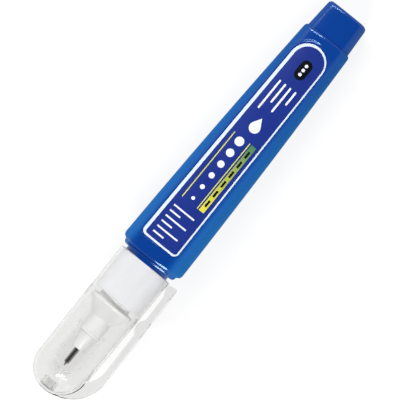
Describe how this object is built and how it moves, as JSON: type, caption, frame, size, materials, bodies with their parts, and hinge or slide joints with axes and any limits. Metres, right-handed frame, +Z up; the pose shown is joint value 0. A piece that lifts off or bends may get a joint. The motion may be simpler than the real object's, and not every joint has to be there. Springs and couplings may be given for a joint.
{
  "type": "correction pen",
  "caption": "Squeezable correction pen: tapered oval barrel with a label, a sprung needle valve in a metal tip, and a clear clip cap that pulls off.",
  "frame": {"origin": "middle of the flat on the barrel's back, on which the pen lies", "axes": "+X along the pen from the tail to the cap (the pen's own axis rises 1.84 degrees towards +X, because the barrel gets thicker), +Y to the side that carries the clip, +Z up out of the label"},
  "size_m": [0.14, 0.0232, 0.0187],
  "materials": {
    "blue_plastic": "glossy",
    "label_film": "printed film",
    "white_plastic": "satin",
    "natural_plastic": "milky",
    "clear_plastic": "clear",
    "tip_metal": "turned",
    "spring_steel": "drawn wire",
    "ball_steel": "ground"
  },
  "bodies": {
    "pen": {"barrel": "blue_plastic", "tail_plug": "blue_plastic", "front_label": "label_film", "front_collar": "white_plastic", "nozzle": "natural_plastic", "tip_tube": "tip_metal", "spring_seat": "white_plastic", "needle_spring": "spring_steel"},
    "capped": {"cap": "clear_plastic", "cap_inner_seal": "natural_plastic"},
    "needle": {"valve_needle": "tip_metal"},
    "ball": {"mixing_ball": "ball_steel"}
  },
  "joints": [
    {"name": "cap_pull", "type": "slide", "parent": "pen", "child": "capped", "axis": [0.9995, 0, 0.032], "range_m": [0, 0.06]},
    {"name": "needle_press", "type": "slide", "parent": "pen", "child": "needle", "axis": [-0.9995, 0, -0.032], "range_m": [0, 0.0008], "stiffness_N_per_m": 400, "deforming": ["needle_spring"]},
    {"name": "ball_roll", "type": "slide", "parent": "pen", "child": "ball", "axis": [1, 0, 0], "range_m": [-0.0315, 0.0359]}
  ]
}
